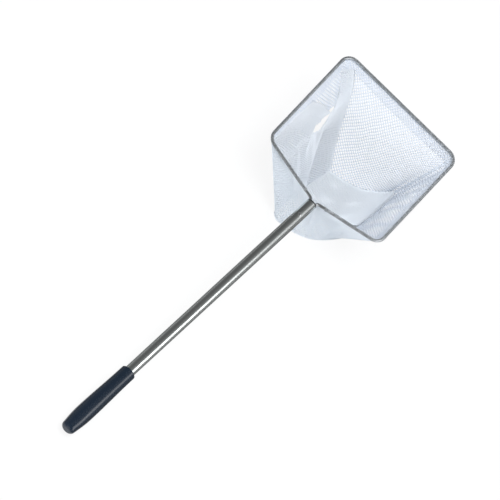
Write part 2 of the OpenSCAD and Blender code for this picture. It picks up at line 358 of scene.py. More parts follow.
@dataclass
class Stance:
    """How the net is set down: the pitch of its handle and the middle of its tube's mouth."""

    pitch: float = math.radians(8)
    tube_radius: float = 8 * MM
    mouth: Vector = field(init=False)

    def __post_init__(self) -> None:
        """Finds the mouth from the tube's box."""
        low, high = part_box("handle_tube")
        reach = Vector((math.sin(self.pitch), 0, math.cos(self.pitch))) * self.tube_radius
        self.mouth = Vector((high[0], (low[1] + high[1]) / 2, high[2])) - reach

    def place(self, along: float, left: float, above: float = 0.0) -> Vector:
        """A point of the handle's own frame.

        Args:
            along: distance along the tube from its mouth, towards the frame.
            left: distance to the left of the tube's axis.
            above: distance above the wire's plane.

        Returns:
            The point as it stands on the floor.
        """
        x = along * math.cos(self.pitch) - above * math.sin(self.pitch)
        z = along * math.sin(self.pitch) + above * math.cos(self.pitch)
        return self.mouth + Vector((x, left, z))


class Side(Enum):
    """A side of the bag: the rim's first edge there, how many it has, the foot's edge, and its slackness."""

    NEAR = (0, 2, 0, 1.0)
    RIGHT = (2, 1, 1, 0.9)
    FAR = (3, 1, 2, 0.35)
    LEFT = (4, 1, 3, 0.5)

    def __init__(self, first: int, count: int, foot: int, slackness: float) -> None:
        """Names the side's values."""
        self.first, self.count = first, count
        self.foot, self.slackness = foot, slackness


def turned(points: Sequence[tuple[float, float]], degrees: float, shift: Vector) -> list[Vector]:
    """Turns points in plan by degrees counter-clockwise, and then shifts them."""
    turn = Matrix.Rotation(math.radians(degrees), 2)
    return [turn @ Vector(p) + shift for p in points]


def smooth(value: float) -> float:
    """A smooth step from 0 to 1."""
    t = min(max(value, 0.0), 1.0)
    return t * t * (3 - 2 * t)


def between(values: Sequence[float], share: float) -> float:
    """The value at a share of the way along evenly spaced values."""
    place = min(max(share, 0.0), 0.9999) * (len(values) - 1)
    return values[int(place)] + (values[int(place) + 1] - values[int(place)]) * (place % 1)


def along_line(line: Line, share: float) -> Vector:
    """The place at a share of the way along a line on a wall."""
    return Vector([between(parts, share) for parts in zip(*line)])


def folded(share: float) -> tuple[float, int]:
    """How far a place in a cut lies behind the crease in its middle, from 0 to 1, and its layer, 0 or 1."""
    return abs(1 - 2 * share), (0 if share < 0.5 else 1)


@dataclass(frozen=True)
class Wave:
    """A wave in loose cloth: its height, its radians along and down it, its lag by layer and its start."""

    height: float
    along: float
    down: float
    lag: float = 0.0
    start: float = 0.0

    def at(self, u: float, v: float, layer: int = 0) -> float:
        """The wave's height at shares along and down the cloth, in one of its layers."""
        return self.height * math.sin(self.along * u + self.down * v + self.lag * layer + self.start)


# ---- Making and naming pieces ----
class Cloth(Enum):
    """The yarns of the net: a grey yarn for the hem, a white yarn, and copies of the white yarn whose darker,
    bluer or lighter tones are painted light and shade.
    """

    HEM = Yarn("grey_yarn", (0.80, 0.84, 0.88), (0.05, 0.065, 0.08), 420.0, 3.0)
    # Darker, bluer copy of the white yarn, for the walls and the hem band: painted shade.
    WALL = Yarn("wall_yarn_painted_shade", (0.81, 0.865, 0.95), (0.76, 0.825, 0.925))
    # Bluer copy of the white yarn for the near wall, lighter than the walls' copy: painted light, with a
    # painted bluish shade cast.
    NEAR = Yarn("near_yarn_painted_light_and_shade", (0.875, 0.935, 0.995), (0.825, 0.89, 0.97))
    # Darker copy of the white yarn, for the folds and the corner tuck: painted shade.
    LOOSE = Yarn("fold_yarn_painted_shade", (0.84, 0.88, 0.93), (0.79, 0.84, 0.905))
    WHITE = Yarn("white_yarn", (0.89, 0.935, 0.98), (0.845, 0.895, 0.955))


class Slot(Enum):
    """The record's material slots of the soft pieces."""

    BAG = "bag_mesh"
    HEM = "hem_mesh"
    THREAD = "seam_thread"


class Held(Enum):
    """How a sheet of netting is held."""

    HUNG = "hung"
    LAID = "laid"
    FOLDED = "folded"


def to_object(bm: bmesh.types.BMesh, name: str) -> bpy.types.Object:
    """Turns a bmesh into an object of the scene.

    Args:
        bm: the mesh, in metres, where it stands.
        name: the object's name.

    Returns:
        The object.
    """
    mesh = bpy.data.meshes.new(name)
    bm.to_mesh(mesh)
    bm.free()
    made = bpy.data.objects.new(name, mesh)
    bpy.context.scene.collection.objects.link(made)
    return made


def to_piece(bm: bmesh.types.BMesh, name: str, finish: bpy.types.Material) -> bpy.types.Object:
    """Turns a bmesh into a piece of the net.

    Args:
        bm: the mesh, in metres, where it stands.
        name: the piece's name.
        finish: its material.

    Returns:
        The piece.
    """
    piece = to_object(bm, name)
    for polygon in piece.data.polygons:
        polygon.use_smooth = True
    piece.data.materials.append(finish)
    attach(piece, BODY)
    LOG.info("%s: %d faces", name, len(piece.data.polygons))
    return piece


def row_lengths(surface: Surface, steps: int = 24) -> list[float]:
    """The lengths in metres of evenly spaced rows across a surface, one more row than each row's steps."""
    rows = [[surface(i / steps, k / steps) for i in range(steps + 1)] for k in range(steps + 1)]
    return [sum((b - a).length for a, b in zip(row, row[1:])) for row in rows]


def cut_size(surface: Surface) -> tuple[float, float]:
    """The greatest width and the mean length, in metres, of the cloth that a surface is cut from."""
    lengths = row_lengths(lambda u, v: surface(v, u))
    return max(row_lengths(surface)), sum(lengths) / len(lengths)


@dataclass
class Netting:
    """Netting of diamond meshes, cut to the rows of the surface that it hangs on.

    Attributes:
        surface: where a point of the cut goes.
        size: greatest width and length of the cut.
        cell: distance between neighbouring threads.
        thread: thickness of a thread.
        crease: the direction across a fold through the middle of the cut, which gets a thread of its own.
        bias: turn of the threads from their place at 45 degrees to the cut.
        gap: whether a mesh is left open, from its share of the width and of the length.
        weld: how near to the cut's edge a knot counts as on it, as a share of the cut.
        spike: how far from every knot a thread's corner is a spike, in threads.
        tip: how far from its knot a spike is pulled back to, in threads.
    """

    surface: Surface
    size: tuple[float, float]
    cell: float
    thread: float
    crease: tuple[float, ...] = ()
    bias: float = 0.0
    gap: Choice | None = None
    weld: float = 1e-4
    spike: float = 1.6
    tip: float = 0.7
    bm: bmesh.types.BMesh = field(init=False, default_factory=bmesh.new)

    def lay_out(self) -> None:
        """Lays out the meshes, in shares of the cut and wider than the cut all round."""
        across, down = (max(2, round(side / (self.cell * math.sqrt(2)))) for side in self.size)
        count = across + down
        if self.bias:
            count += 2 * math.ceil((math.hypot(across, down) * math.sqrt(2) - count) / 2)
        turn = Matrix.Rotation(math.pi / 4 + self.bias, 2) * math.sqrt(0.5)
        rows = row_lengths(self.surface)
        bmesh.ops.create_grid(self.bm, x_segments=count, y_segments=count, size=count / 2)
        for vert in self.bm.verts:
            place = turn @ vert.co.xy
            along = place.y / down + 0.5
            vert.co = Vector((place.x / across * max(rows) / between(rows, along) + 0.5, along, 0))

    def trim(self) -> None:
        """Cuts the meshes along the cut's edges and its crease, and takes out those of its gap."""
        ways = ((-1, 0, 0), (1, 0, 0), (0, -1, 0), (0, 1, 0))
        cuts = [(way, [0.5 + part / 2 for part in way], True) for way in ways]
        if self.crease:
            cuts.append(((*self.crease, 0), (0.5, 0.5, 0), False))
        for way, place, clear in cuts:
            everything = self.bm.verts[:] + self.bm.edges[:] + self.bm.faces[:]
            bmesh.ops.bisect_plane(
                self.bm, geom=everything, dist=self.weld, plane_co=place, plane_no=way, clear_outer=clear
            )
        if self.gap:
            parted = [face for face in self.bm.faces if self.gap(*face.calc_center_median().xy)]
            bmesh.ops.delete(self.bm, geom=parted, context="FACES")

    def spin(self) -> None:
        """Turns the edges of the meshes into closed threads, and pulls each spike back to its own knot."""
        knots = KDTree(len(self.bm.verts))
        for i, vert in enumerate(self.bm.verts):
            knots.insert(vert.co, i)
        knots.balance()
        bmesh.ops.wireframe(
            self.bm, faces=self.bm.faces[:], thickness=self.thread, use_replace=True, use_boundary=True,
            use_even_offset=True,
        )
        self.bm.verts.index_update()
        nearest = [knots.find(vert.co) for vert in self.bm.verts]
        spikes = [
            vert for vert, (_, _, reach) in zip(self.bm.verts, nearest)
            if max(reach, min(edge.calc_length() for edge in vert.link_edges)) > self.spike * self.thread
        ]
        for vert in spikes:
            beside = [nearest[edge.other_vert(vert).index] for edge in vert.link_edges]
            knot = min(beside, key=lambda found: found[2])[0]
            vert.co = knot + (vert.co - knot).normalized() * self.tip * self.thread
        bmesh.ops.recalc_face_normals(self.bm, faces=self.bm.faces[:])

    def make(
        self, name: str, finish: bpy.types.Material, slot: Slot, held: Held, rests_on: str,
        stands_for: str = "",
    ) -> None:
        """Args:
            name: the piece's name.
            finish: its material.
            slot: not used.
            held: not used.
            rests_on: not used.
            stands_for: the node that it replaces, if any.
        """
        self.lay_out()
        self.trim()
        for vert in self.bm.verts:
            vert.co = self.surface(*(min(max(part, 0.0), 1.0) for part in vert.co.xy))
        self.bm.normal_update()
        area = min(sum(face.calc_area() for face in self.bm.faces), self.size[0] * self.size[1])
        self.spin()
        piece = to_piece(self.bm, name, finish)
        if stands_for:
            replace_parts(piece, stands_for)


def cord_mesh(
    path: Sequence[Vector], radius: float, wraps: int, sides: int, closed: bool, groove: float = 0.26
) -> bmesh.types.BMesh:
    """Makes a sewn bead: a cord along a path with thread wrapped round it.

    Args:
        path: points along the middle of the bead.
        radius: radius of the bead.
        wraps: how many times the thread goes round it.
        sides: sides of its section.
        closed: whether the path is a ring.
        groove: depth of the groove beside the thread, as a share of the radius.

    Returns:
        The bead.
    """
    rings = len(path)
    spans = rings if closed else rings - 1
    bm = bmesh.new()
    bmesh.ops.create_grid(bm, x_segments=spans, y_segments=sides, size=0.5)
    for vert in bm.verts:
        u, angle = vert.co.x + 0.5, (vert.co.y + 0.5) * 2 * math.pi
        i = round(u * spans)
        here = path[i % rings]
        before = path[(i - 1) % rings if closed else max(i - 1, 0)]
        after = path[(i + 1) % rings if closed else min(i + 1, rings - 1)]
        along = (after - before).normalized()
        side = along.cross(UP).normalized()
        wrap = 0.5 + 0.5 * math.cos(angle - 2 * math.pi * wraps * u)
        reach = radius * (1 - groove + groove * wrap ** 1.5)
        vert.co = here + (side * math.cos(angle) + side.cross(along) * math.sin(angle)) * reach
    bmesh.ops.remove_doubles(bm, verts=bm.verts[:], dist=radius * 0.02)
    bmesh.ops.holes_fill(bm, edges=[e for e in bm.edges if e.is_boundary], sides=sides)
    bmesh.ops.recalc_face_normals(bm, faces=bm.faces[:])
    return bm


# ---- The bag ----
@dataclass
class NetBag:
    """The bag's shape, and the netting of its four walls and its foot."""

    stance: Stance
    yarns: dict[Cloth, bpy.types.Material]
    frame_w: float = 200 * MM
    frame_l: float = 173 * MM
    neck_slope: float = math.radians(12.6)
    neck_ahead: float = 6 * MM
    corner_r: float = 15 * MM
    tail_r: float = 6 * MM
    skew: float = 3.6
    hem_d: float = 4.8 * MM
    seam_d: float = 2.4 * MM
    mesh_t: float = 1 * MM
    foot_l: float = 122 * MM
    foot_w: float = 81 * MM
    foot_shear: float = 68 * MM
    foot_turn: float = -4
    foot_mid: tuple[float, float] = (84 * MM, -21 * MM)
    foot_r: float = 7 * MM
    foot_bows: tuple[float, float, float, float] = (14 * MM, 3 * MM, -12 * MM, 3 * MM)
    wall_sag: float = 8 * MM
    gap: float = 0.05 * MM
    cell: float = 3.4 * MM
    thread: float = 1.22 * MM
    near_gather: float = 1.4
    slit_ends: tuple[float, float] = (0.06, 0.48)
    slit_at: float = 0.385
    slit_half: float = 0.034
    slit_spread: float = 0.025
    slit_reach: float = 0.20
    waves: tuple[Wave, ...] = (
        Wave(1.5 * MM, 9 * math.pi, 0.9 * math.pi, 1.0, 0.7),
        Wave(0.8 * MM, 17 * math.pi, 1.7 * math.pi - 2.0, 1.9),
    )
    dents: tuple[Wave, Wave] = (Wave(0.7 * MM, 5.0, 7.0, 1.0), Wave(1.0, 3.0, 8.0))
    seam_take: float = field(init=False)
    rim: Outline = field(init=False)
    foot: Outline = field(init=False)

    def __post_init__(self) -> None:
        """Works out the outlines of the rim and of the foot."""
        self.seam_take = self.seam_d / 2 + self.gap
        near = self.neck_ahead + self.frame_w / 2 * math.tan(self.neck_slope)
        far, half = near + self.frame_l, self.frame_w / 2
        rim = [(near, half), (self.neck_ahead, 0), (near, -half), (far, -half), (far, half)]
        radii = [self.corner_r, self.tail_r] + [self.corner_r] * 3
        self.rim = Outline(turned(rim, self.skew, Vector((0, 0))), radii)
        long, wide, shear = self.foot_l / 2, self.foot_w / 2, self.foot_shear / 2
        foot = [(-long - shear, wide), (-long + shear, -wide), (long + shear, -wide), (long - shear, wide)]
        self.foot = Outline(turned(foot, self.foot_turn, Vector(self.foot_mid)), [self.foot_r] * 4)

    # Points of the bag
    def rim_at(self, side: Side, u: float) -> tuple[Vector, Vector]:
        """A point of the rim.

        Args:
            side: the side of the bag.
            u: share of that side's length.

        Returns:
            The point in plan, and the direction inwards.
        """
        lengths = [self.rim.edge_length(side.first + k) for k in range(side.count)]
        run = self.seam_take + u * (sum(lengths) - 2 * self.seam_take)
        if run <= lengths[0]:
            return self.rim.edge_at(side.first, run)
        return self.rim.edge_at((side.first + 1) % 5, run - lengths[0])

    def foot_bowed(self, edge: int, run: float) -> tuple[Vector, Vector]:
        """A point of the foot's seam, with the bow of its edge.

        Args:
            edge: the foot's edge.
            run: distance from the middle of its first corner.

        Returns:
            The point in plan, and the direction inwards.
        """
        u = (run - self.seam_take) / (self.foot.edge_length(edge) - 2 * self.seam_take)
        point, inward = self.foot.edge_at(edge, run)
        return point - inward * self.foot_bows[edge] * math.sin(math.pi * min(max(u, 0.0), 1.0)), inward

    def foot_at(self, edge: int, u: float) -> tuple[Vector, Vector]:
        """The same point, at share u of the wall that stands on that edge."""
        whole = self.foot.edge_length(edge) - 2 * self.seam_take
        return self.foot_bowed(edge, self.seam_take + u * whole)

    def inside_foot(self, edge: int, share: float) -> Vector:
        """A point in plan just inside the foot's seam, at a share of one of its edges."""
        point, inward = self.foot_bowed(edge, share * self.foot.edge_length(edge))
        return point + inward * self.seam_take

    def foot_length(self, edge: int) -> float:
        """Length of one edge of the foot."""
        points = [self.foot_at(edge, k / 12)[0] for k in range(13)]
        return sum((b - a).length for a, b in zip(points, points[1:]))

    def on_floor(self, plan: Vector, height: float) -> Vector:
        """A point of the foot, at a height over the floor."""
        return Vector((plan.x + self.stance.mouth.x, plan.y + self.stance.mouth.y, height))

    def foot_cloth_at(self, u: float, v: float, height: float) -> Vector:
        """A point of the foot's cloth.

        Args:
            u: share of the way from the left edge to the right edge.
            v: share of the way from the near edge to the far edge.
            height: height over the floor.

        Returns:
            The point.
        """
        ends = [self.inside_foot(0, side).lerp(self.inside_foot(2, 1 - side), v) for side in (0, 1)]
        across = self.inside_foot(0, u).lerp(self.inside_foot(2, 1 - u), v)
        down = self.inside_foot(3, 1 - v).lerp(self.inside_foot(1, v), u)
        return self.on_floor(across + down - ends[0].lerp(ends[1], u), height)

    def wall_at(self, side: Side, u: float, v: float, inward: float = 0.0) -> Vector:
        """A point of a wall.

        Args:
            side: the side of the bag.
            u: share of the way along the wall.
            v: share of the way from the rim down to the foot.
            inward: distance towards the inside of the bag.

        Returns:
            The point.
        """
        top, top_in = self.rim_at(side, u)
        low, low_in = self.foot_at(side.foot, u)
        high = self.stance.place(top.x, top.y) - UP * (self.hem_d / 2 + self.gap)
        base = self.on_floor(low, self.seam_d + self.gap)
        way = (top_in * (1 - v) + low_in * v).normalized().to_3d()
        sag = self.wall_sag * math.sin(math.pi * u) * math.sin(math.pi * v)
        return high.lerp(base, v) + way * (sag + self.mesh_t / 2 + inward)

    def cloth_at(self, side: Side, u: float, v: float, inward: float = 0.0) -> Vector:
        """A point of a wall's cloth, which hangs slack.

        Args:
            side: the side of the bag.
            u: share of the way along the wall.
            v: share of the way down the wall.
            inward: distance towards the inside of the bag.

        Returns:
            The point.
        """
        hold = math.sin(math.pi * u) ** 0.5 * math.sin(math.pi * v) ** 0.7
        slack = sum(wave.at(u, v, side.first) for wave in self.waves)
        slack += self.dents[0].at(u, v, side.first) * self.dents[1].at(u, v)
        return self.wall_at(side, u, v, side.slackness * hold * slack + inward)

    def slit_width(self, u: float) -> float:
        """Width of the slit as a share of its greatest, at a share of the way along the left wall."""
        start, end = self.slit_ends
        return math.sin(math.pi * min(max((u - start) / (end - start), 0.0), 1.0)) ** 0.6

    def in_slit(self, u: float, v: float) -> bool:
        """Whether a mesh of the left wall is parted, at a share of the way along and down the cut."""
        return abs(v - self.slit_at) < self.slit_half * self.slit_width(u)

    def stretched_at(self, u: float, v: float) -> Vector:
        """A point of the left wall's cloth, whose meshes are pulled apart at the slit.

        Args:
            u: share of the way along the wall.
            v: share of the way down the cut.

        Returns:
            The point.
        """
        off = v - self.slit_at
        spread = self.slit_spread * self.slit_width(u) * (1 - min(abs(off) / self.slit_reach, 1.0)) ** 2
        return self.cloth_at(Side.LEFT, u, v + math.copysign(spread, off))

    # Pieces
    def walls(self) -> None:
        """Makes the four walls of netting."""
        for side in Side:
            surface = self.stretched_at if side is Side.LEFT else partial(self.cloth_at, side)
            cell = self.cell / (self.near_gather if side is Side.NEAR else 1.0)
            gap = self.in_slit if side is Side.LEFT else None
            # The walls take copies of one yarn whose differing tones are painted light and shade.
            finish = self.yarns[Cloth.NEAR if side is Side.NEAR else Cloth.WALL]
            netting = Netting(surface, cut_size(surface), cell, self.thread, gap=gap)
            name = side.name.lower()
            netting.make(f"{name}_netting", finish, Slot.BAG, Held.HUNG, "frame_wire", f"bag_{name}_panel")

    def floor_netting(self) -> None:
        """Makes the foot of the bag, which lies on the floor."""
        surface = partial(self.foot_cloth_at, height=self.thread / 2 + self.gap)
        netting = Netting(surface, (self.foot_length(0), self.foot_length(1)), self.cell, self.thread)
        finish = self.yarns[Cloth.WHITE]
        netting.make("foot_netting", finish, Slot.BAG, Held.LAID, "near_netting", "bag_bottom_panel")


@dataclass(frozen=True)
class FoldPlan:
    """A fold of the left wall: its crease and its upper and lower ends, as shares along and down the wall."""

    name: str
    crease: Line
    top: Line
    low: Line


@dataclass
class Folds:
    """The loose cloth of the bag, laid in folds of two layers."""

    bag: NetBag
    cell: float = 2.4 * MM
    thread: float = 0.86 * MM
    bias: float = math.radians(22)

    foot_gather: float = 1.3
    foot_start: float = 1.004
    foot_reach: float = 0.52
    foot_skew: float = 0.20
    foot_lift: float = 3.4 * MM
    foot_press: float = 0.3 * MM
    foot_apart: float = 0.6 * MM
    foot_puff: float = 0.9 * MM
    foot_waves: tuple[Wave, ...] = (Wave(0.5 * MM, 19.0, 6.0, 1.0), Wave(0.4 * MM, 8.0, -21.0, 2.0))
    foot_sides: tuple[float, float] = (0.012, 0.98)
    foot_sway: Wave = Wave(0.008, 0.0, 9.0, 2.5)

    left_gather: float = 1.2
    left_lift: float = 1.6 * MM
    left_overlap: float = 2.4 * MM
    left_overlap_end: float = 0.4
    left_apart: float = 0.5 * MM
    left_wave: Wave = Wave(0.3 * MM, 14.0, 5.0, 1.0)
    left_plans: tuple[FoldPlan, ...] = (
        FoldPlan(
            "left_upper_fold",
            crease=((0.47, 0.05), (0.39, 0.12), (0.315, 0.195), (0.25, 0.275), (0.195, 0.34)),
            top=((0.47, 0.05), (0.73, 0.05), (0.985, 0.05)),
            low=(
                (0.195, 0.34), (0.26, 0.32), (0.33, 0.305), (0.41, 0.315), (0.48, 0.37), (0.72, 0.41),
                (0.985, 0.43),
            ),
        ),
        FoldPlan(
            "left_lower_fold",
            crease=((0.30, 0.42), (0.34, 0.52), (0.385, 0.62), (0.42, 0.74), (0.43, 0.86), (0.43, 0.96)),
            top=((0.30, 0.42), (0.40, 0.40), (0.49, 0.37), (0.65, 0.35), (0.985, 0.33)),
            low=((0.43, 0.96), (0.72, 0.96), (0.985, 0.96)),
        ),
    )

    tuck_gather: float = 1.12
    tuck_lift: float = 2.1 * MM
    tuck_sag: float = 0.07
    tuck_apart: float = 0.6 * MM
    tuck_on_far: Line = (
        (0.94, 0.06), (0.918, 0.16), (0.923, 0.29), (0.94, 0.43), (0.962, 0.58), (0.982, 0.77), (0.992, 0.97),
    )
    tuck_on_left: Line = (
        (0.05, 0.07), (0.045, 0.20), (0.06, 0.31), (0.10, 0.365), (0.17, 0.396), (0.255, 0.41), (0.33, 0.415),
        (0.395, 0.51), (0.455, 0.61), (0.495, 0.74), (0.505, 0.95),
    )

    def foot_fold_at(self, u: float, v: float) -> Vector:
        """A point of the fold on the foot, whose crease is at the far seam.

        Args:
            u: share of the width of the cut.
            v: share of the length of the cut, whose middle is the crease.

        Returns:
            The point.
        """
        back, layer = folded(v)
        share = self.foot_start - (self.foot_reach + self.foot_skew * u) * back
        lift = self.foot_lift - self.foot_press * smooth(back * 5)
        lift += (2 * layer - 1) * self.foot_apart * smooth(back * 9)
        puff = self.foot_puff + sum(wave.at(u, share, layer) for wave in self.foot_waves)
        lift += puff * math.sin(math.pi * min(share, 1.0)) ** 0.5
        across = self.foot_sides[0] + self.foot_sides[1] * u + self.foot_sway.at(u, share, layer)
        return self.bag.foot_cloth_at(across, share, lift)

    def left_fold_at(self, plan: FoldPlan, u: float, v: float) -> Vector:
        """A point of a fold of the left wall.

        Args:
            plan: the fold.
            u: share of the width of the cut, whose middle is the crease.
            v: share of the length of the cut.

        Returns:
            The point.
        """
        back, layer = folded(u)
        edge, start, end = along_line(plan.crease, v), along_line(plan.top, back), along_line(plan.low, back)
        off = edge - Vector(plan.crease[0]).lerp(Vector(plan.crease[-1]), v)
        share, drop = start.lerp(end, v) + off * (1 - back)
        lift = self.left_lift + self.left_overlap * max(0.0, 1 - back / self.left_overlap_end)
        lift += (2 * layer - 1) * self.left_apart * smooth(back * 8)
        lift += self.left_wave.at(share, drop, layer) * math.sin(math.pi * back)
        return self.bag.cloth_at(Side.LEFT, share, drop, lift)

    def tuck_at(self, u: float, v: float) -> Vector:
        """A point of the tuck in the far left corner, which is creased on the far wall.

        Args:
            u: share of the width of the cut, whose middle is the crease.
            v: share of the length of the cut.

        Returns:
            The point.
        """
        back, layer = folded(u)
        far = self.bag.cloth_at(Side.FAR, *along_line(self.tuck_on_far, v), self.tuck_lift)
        left = self.bag.cloth_at(Side.LEFT, *along_line(self.tuck_on_left, v), self.tuck_lift)
        middle = far.lerp(left, back)
        corner = self.bag.wall_at(Side.FAR, 1, v, self.tuck_lift)
        sag = (corner - middle) * (self.tuck_sag * math.sin(math.pi * back) * (1 - 0.3 * layer))
        apart = self.bag.wall_at(Side.LEFT, 0.5, 0.5, (2 * layer - 1) * self.tuck_apart * smooth(back * 6))
        return middle + sag + apart - self.bag.wall_at(Side.LEFT, 0.5, 0.5)

    def lay(
        self, name: str, rests_on: str, surface: Surface, crease: tuple[int, int], cloth: Cloth, gather: float
    ) -> None:
        """Makes a fold of two layers.

        Args:
            name: the piece's name.
            rests_on: what carries it.
            surface: where a point of the cut goes.
            crease: the direction across its crease.
            cloth: its yarn.
            gather: how much wider and longer the cut is than the place where it lies.
        """
        size = tuple(side * gather for side in cut_size(surface))
        netting = Netting(surface, size, self.cell, self.thread, crease, self.bias)
        netting.make(name, self.bag.yarns[cloth], Slot.BAG, Held.FOLDED, rests_on)

    def lay_all(self) -> None:
        """Lays the slack of the far wall, of the left wall and of the corner between them."""
        self.lay("foot_fold", "foot_netting", self.foot_fold_at, (0, 1), Cloth.WHITE, self.foot_gather)
        # The left folds and the corner tuck take the darker copy of the yarn: painted shade.
        for plan in self.left_plans:
            surface = partial(self.left_fold_at, plan)
            self.lay(plan.name, "left_netting", surface, (1, 0), Cloth.LOOSE, self.left_gather)
        self.lay("corner_tuck", "left_netting", self.tuck_at, (1, 0), Cloth.LOOSE, self.tuck_gather)


@dataclass
class Hem:
    """The hem: netting wrapped round the wire and sewn down the inside of the walls."""

    bag: NetBag
    order: tuple[int, ...] = (1, 2, 3, 4, 0)
    bare: float = 18 * MM
    cell: float = 1.75 * MM
    thread: float = 0.50 * MM
    wrap_reach: float = 2.08 * MM
    wrap_from: float = math.radians(240)
    wrap_to: float = math.radians(-60)
    band: float = 12 * MM
    band_lift: float = 0.9 * MM
    stitch_pitch: float = 4.2 * MM
    stitch_size: tuple[float, float] = (2.9 * MM, 0.55 * MM)
    stitch_edges: tuple[float, float] = (1.6 * MM, 1.4 * MM)
    stitch_lift: float = 1.45 * MM
    tack_turns: int = 4
    tack_steps: int = 24
    tack_start: float = 0.3 * MM
    tack_pitch: float = 0.55 * MM
    tack_reach: float = 2.45 * MM
    tack_radius: float = 0.30 * MM
    tack_wraps: int = 60
    tack_sides: int = 6
    length: float = field(init=False)

    def __post_init__(self) -> None:
        """Works out the length of the hem along the wire."""
        self.length = sum(self.bag.rim.edge_length(i) for i in self.order) - 2 * self.bare

    def find(self, run: float) -> tuple[int, float]:
        """Finds the edge and the distance along it.

        Args:
            run: distance along the hem.

        Returns:
            The rim's edge, and the distance from its start.
        """
        past = run + self.bare
        for i in self.order[:-1]:
            if past <= self.bag.rim.edge_length(i):
                return i, past
            past -= self.bag.rim.edge_length(i)
        return self.order[-1], past

    def round_wire(self, run: float, angle: float, reach: float) -> Vector:
        """A point beside the wire.

        Args:
            run: distance along the hem.
            angle: turn round the wire, from its inner side over its top.
            reach: distance from the wire's middle.

        Returns:
            The point.
        """
        stance = self.bag.stance
        point, inward = self.bag.rim.edge_at(*self.find(run))
        inwards = stance.place(inward.x, inward.y) - stance.place(0, 0)
        above = stance.place(0, 0, 1) - stance.place(0, 0)
        return stance.place(point.x, point.y) + (inwards * math.cos(angle) + above * math.sin(angle)) * reach

    def below_wire(self, run: float, drop: float, inward: float) -> Vector:
        """A point of the wall below the wire.

        Args:
            run: distance along the hem.
            drop: distance down the wall.
            inward: distance inside the wall's middle.

        Returns:
            The point.
        """
        bag = self.bag
        edge, past = self.find(run)
        side = next(side for side in Side if side.first <= edge < side.first + side.count)
        lengths = [bag.rim.edge_length(side.first + k) for k in range(side.count)]
        past += sum(lengths[:edge - side.first])
        u = min(max((past - bag.seam_take) / (sum(lengths) - 2 * bag.seam_take), 0.0), 1.0)
        v = drop / (bag.wall_at(side, u, 0) - bag.wall_at(side, u, 1)).length
        return bag.cloth_at(side, u, v, inward)

    def wrap_at(self, u: float, v: float) -> Vector:
        """A point of the netting round the wire, at shares of its length and width."""
        angle = self.wrap_from + v * (self.wrap_to - self.wrap_from)
        return self.round_wire(u * self.length, angle, self.wrap_reach)

    def band_at(self, u: float, v: float) -> Vector:
        """A point of the hem's free edge, at shares of its length and width."""
        return self.below_wire(u * self.length, v * self.band, self.band_lift)

    def stitches(self) -> None:
        """Sews the hem with a row of stitches under the wire and another at the band's edge."""
        bm = bmesh.new()
        count = round(self.length / self.stitch_pitch)
        long, thick = self.stitch_size
        for drop in (self.stitch_edges[0], self.band - self.stitch_edges[1]):
            for k in range(count):
                run = (k + 0.5) * self.length / count
                ends = [self.below_wire(run + part * long / 2, drop, self.stitch_lift) for part in (-1, 1)]
                turn = (ends[1] - ends[0]).to_track_quat("X", "Z").to_matrix().to_4x4()
                size = Matrix.Diagonal((long / 2, thick / 2, thick / 2, 1))
                place = Matrix.Translation((ends[0] + ends[1]) / 2) @ turn @ size
                bmesh.ops.create_uvsphere(bm, u_segments=6, v_segments=5, radius=1.0, matrix=place)
        to_piece(bm, "hem_stitches", self.bag.yarns[Cloth.WHITE])

    def tacks(self) -> None:
        """Ties each end of the hem with turns of thread round the wire."""
        for name, start, way in (("right", 0.0, 1), ("left", self.length, -1)):
            path = []
            for k in range(self.tack_turns * self.tack_steps + 1):
                turns = k / self.tack_steps
                run = start + way * (self.tack_start + self.tack_pitch * turns)
                path.append(self.round_wire(run, 2 * math.pi * turns, self.tack_reach))
            cord = cord_mesh(path, self.tack_radius, self.tack_wraps, self.tack_sides, False)
            to_piece(cord, f"hem_tack_{name}", self.bag.yarns[Cloth.HEM])

    def sew(self) -> None:
        """Makes the hem's two strips of netting, its stitches and its tacks."""
        wrap_width = (self.wrap_from - self.wrap_to) * self.wrap_reach
        for name, width, surface, cloth in (
            ("hem_wrap", wrap_width, self.wrap_at, Cloth.HEM),
            # The band takes the walls' darker copy of the yarn: painted shade.
            ("hem_band", self.band, self.band_at, Cloth.WALL),
        ):
            netting = Netting(surface, (self.length, width), self.cell, self.thread)
            netting.make(name, self.bag.yarns[cloth], Slot.HEM, Held.FOLDED, "frame_wire", "rim_hem")
        self.stitches()
        self.tacks()


